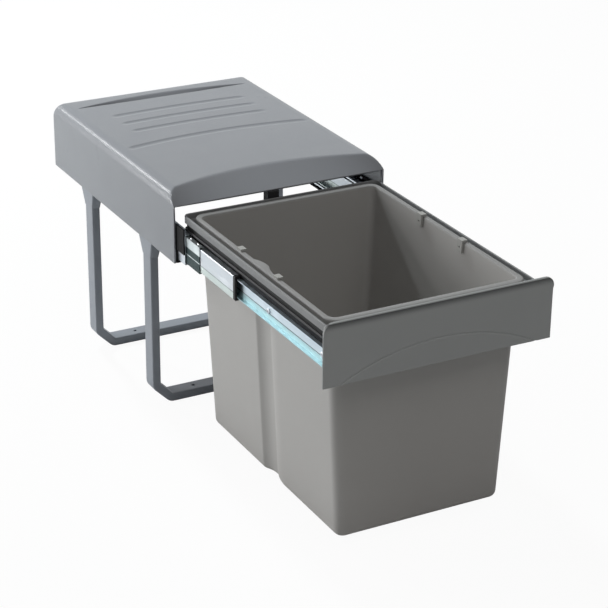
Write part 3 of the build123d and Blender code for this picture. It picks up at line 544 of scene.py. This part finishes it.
# Painted shade in the cove under the lip: dark up to the lip, and the lip itself back near the plastic's own
# tone.
cove_painted_shade = [(0.3475, 0.016, (0.02, 0.021, 0.022)), (0.3519, 0.0008, (0.34, 0.355, 0.355))]
panel_finish = moulded("panel_grey", (0.35, 0.36, 0.36), (0.32, 0.33, 0.33), 0.38, painted_shades=cove_painted_shade)
skin("moulded_panel", [*boss_grids, panel_grid], panel_finish, "front_panel", "carriage", lids=True)


# Rear stop: a small block of black plastic, injection moulded.
# It is screwed to the frame's rear bar and ends the travel at the rear brace when the bin is shut.
coat(black_plastic, "rear_stop")


# Bucket: a drafted tub of warm grey plastic with a turned-down rim and a grip hollow in its left side.
# It hangs by its rim on the frame's ledge and lifts out.
rim_top = 341.9
bucket_bottom = 19.5
base_round = 9.0
bucket_wall = 2.5
rim_wall = 2.5
rim_under = rim_top - rim_wall
rim_bottom = 333.5
rim_reach = 5.0
end_rim_extra = 4.0
body_half = 142.5
body_front = -623.25
body_rear = -236.25
side_draft = 17.5
front_draft = 0.5
rear_draft = 7.5
body_corner = 13.0
wall_foot = 60.0
inner_wall_top = 338.0
wall_rows = 9
# The tub's outline up its outside, over the rim and down inside: outset from the wall, and height.
turn_steps = np.linspace(0.0, math.pi / 2, 6)
foot = np.stack([
    base_round * (np.sin(turn_steps) - 1),
    bucket_bottom + base_round * (1 - np.cos(turn_steps)),
], -1)
inside_round = base_round - bucket_wall
inside_foot = np.stack([
    -bucket_wall - inside_round * (1 - np.cos(turn_steps)),
    bucket_bottom + bucket_wall + inside_round * (1 - np.sin(turn_steps)),
], -1)
outer_wall = np.linspace((0.0, wall_foot), (0.0, rim_under), wall_rows)
inner_wall = np.linspace((-bucket_wall, inner_wall_top), (-bucket_wall, wall_foot), wall_rows)
rim_lines = np.array([
    (rim_wall, rim_under), (rim_wall, rim_bottom), (rim_reach, rim_bottom), (rim_reach, 339.6),
    (4.7, 340.9), (3.9, 341.7), (2.8, rim_top), (-1.0, rim_top),
    (-1.8, 341.6), (-2.3, 340.9), (-bucket_wall, 340.0),
])
outline = np.concatenate([foot, outer_wall, rim_lines, inner_wall, inside_foot])
outset, bucket_z = outline.T
end_outset = np.where(outset > 0, outset + end_rim_extra * np.minimum(outset / rim_wall, 1.0), outset)
taper = (rim_top - bucket_z) / (rim_top - bucket_bottom)
bucket_x, bucket_y = round_plan(
    round_path(9, 150),
    body_half - side_draft * taper + outset,
    body_front + front_draft * taper - end_outset,
    body_rear - rear_draft * taper + end_outset,
    body_corner + np.clip(outset, -base_round, rim_reach),
)
# The grip hollow in both walls, but not in the rim: down from its rear as one less the cube of what is left,
# and up to its front as a square.
grip_rear = -407.75
grip_front = -469.75
grip_slope = 32.0
grip_depth = 7.0
from_rear = np.clip((grip_rear - bucket_y) / grip_slope, 0.0, 1.0)
from_front = np.clip((bucket_y - grip_front) / grip_slope, 0.0, 1.0)
hollow = (1 - (1 - from_rear) ** 3) * from_front**2 * (bucket_x < 0)
outer_rows = len(foot) + wall_rows
outer_rim_rows = 7
hollow[outer_rows:outer_rows + outer_rim_rows] = 0.0
bucket_x = bucket_x + grip_depth * hollow
bucket_grid = np.stack([bucket_x, bucket_y, np.broadcast_to(bucket_z[:, None], bucket_x.shape)], -1)
# Painted shade: the top of the rim is painted darker than the tub, for the shade that falls on it.
rim_painted_shade = [(0.3404, 0.0008, (0.27, 0.27, 0.268))]
bucket_finish = moulded("bucket_grey", (0.42, 0.412, 0.40), (0.385, 0.377, 0.366), 0.44, painted_shades=rim_painted_shade)
skin("moulded_bucket", [bucket_grid], bucket_finish, "bucket", "bucket", lids=True)


# Bag clips: small saddles of grey plastic, injection moulded, two on each long side.
# They are pushed over the bucket's rim, and a leg with a hole reaches down inside it.
clip_finish = moulded("clip_grey", (0.40, 0.40, 0.385), (0.36, 0.36, 0.345), 0.4)
coat(clip_finish, "bag_clips")


# Screws and rivets: cold-headed steel, zinc plated, the screws with crossed heads.
# Rivets hold the slides' outer members to the carrier rails, and screws make all the other joints.
screw_finish = zinc_plate("screw_zinc", (0.70, 0.71, 0.73), (0.58, 0.62, 0.68), 0.28)
coat(screw_finish, "slide_rivets", "cover_screws", "socket_screws", "brace_screws", "stop_screws")
coat(screw_finish, "inner_slide_screws", "panel_screws", "frame_screws", "rail_screws")


# Studio floor and surroundings: a plain white floor under an even white sky.
# The camera sees both as white, metal mirrors the white sky, and the floor keeps a faint shadow of the bin.
floor_half = 8.0
floor_mesh = bpy.data.meshes.new("studio_floor")
corners = np.array([(-1, -1, 0), (1, -1, 0), (1, 1, 0), (-1, 1, 0)]) * floor_half
floor_mesh.from_pydata(corners.tolist(), [], [(0, 1, 2, 3)])
floor = bpy.data.objects.new("studio_floor", floor_mesh)
bpy.context.scene.collection.objects.link(floor)
floor_shadow = 0.05
floor_white = (0.77, 0.77, 0.77, 1.0)
floor_material, floor_shader, floor_place = new_finish("studio_white", Base_Color=floor_white, Roughness=0.9)
ray = floor_place.node("ShaderNodeLightPath", {}, {}, "Is Camera Ray")
glow = ray.node("ShaderNodeEmission", {}, {"Color": (1.0, 1.0, 1.0, 1.0), "Strength": 1.0})
floor_tree = floor_material.node_tree
lit_floor = Shade(floor_tree, floor_shader.outputs[0])
seen_floor = glow.node("ShaderNodeMixShader", {}, {0: ray * (1.0 - floor_shadow), 1: lit_floor, 2: glow})
floor_tree.links.new(seen_floor.socket, floor_tree.nodes["Material Output"].inputs["Surface"])
floor_mesh.materials.append(floor_material)

fill_level = 0.11
world = bpy.data.worlds.new("studio_sky")
bpy.context.scene.world = world
world.use_nodes = True
sky = world.node_tree.nodes["Background"]
paths = world.node_tree.nodes.new("ShaderNodeLightPath")
seen = Shade(world.node_tree, paths.outputs["Is Camera Ray"])
glossy = Shade(world.node_tree, paths.outputs["Is Glossy Ray"])
clear = Shade(world.node_tree, paths.outputs["Is Transmission Ray"])
shown = seen.math("MINIMUM", seen + glossy + clear, 1.0)
(fill_level + shown * (1.0 - fill_level)).feed(sky, "Strength")
sky.inputs["Color"].default_value = (1.0, 1.0, 1.0, 1.0)


# Studio lamps: a broad one low on the left, a small one high behind that clears the cover's lip,
# a faint small one that lights the rounded edges, and a faint broad one over the camera.
bin_middle = Vector((0.0, -0.25, 0.2))


def soft_lamp(name, towards, distance, width, power, tint=(1.0, 1.0, 1.0)):
    """A square area lamp that shines on the bin's middle from one direction, at a distance in metres."""
    light = bpy.data.lights.new(name, "AREA")
    light.size = width
    light.energy = power
    light.color = tint
    lamp = bpy.data.objects.new(name, light)
    bpy.context.scene.collection.objects.link(lamp)
    aim = Vector(towards).normalized()
    turned = aim.to_track_quat("Z", "Y").to_matrix().to_4x4()
    lamp.matrix_world = Matrix.Translation(bin_middle + aim * distance) @ turned
    return lamp


soft_lamp("left_lamp", (-0.75, 0.62, 0.06), 5.5, 2.2, 215.0)
rear_lamp = soft_lamp("rear_lamp", (-0.03, 0.77, 0.63), 3.4, 0.25, 88.0, (0.93, 0.99, 1.0))
rear_lamp.visible_glossy = False
soft_lamp("edge_lamp", (-0.41, 0.8, 0.43), 3.4, 0.25, 20.0)
soft_lamp("front_lamp", (0.0, -0.5, 0.85), 3.5, 2.0, 23.0, (1.0, 0.97, 0.94))


# Camera: a long lens from the front left and above, with no shift and no depth of field.
# It is turned and raised about the origin, rolled a little, moved sideways and drawn back.
camera_turn = math.radians(-28.28)
camera_rise = math.radians(24.09)
camera_roll = math.radians(0.61)
camera_distance = 3.1787
camera_right = 0.1374
camera_up = 0.0775
camera_data = bpy.data.cameras.new("studio_camera")
camera_data.lens = 118.02
camera_data.sensor_width = 36.0
camera = bpy.data.objects.new("studio_camera", camera_data)
bpy.context.scene.collection.objects.link(camera)
look = Matrix.Rotation(camera_turn, 4, "Z") @ Matrix.Rotation(math.pi / 2 - camera_rise, 4, "X")
camera.matrix_world = look @ Matrix.Rotation(camera_roll, 4, "Z") @ Matrix.Translation(
    (camera_right, camera_up, camera_distance)
)
bpy.context.scene.camera = camera
bpy.context.scene.view_settings.view_transform = "Standard"
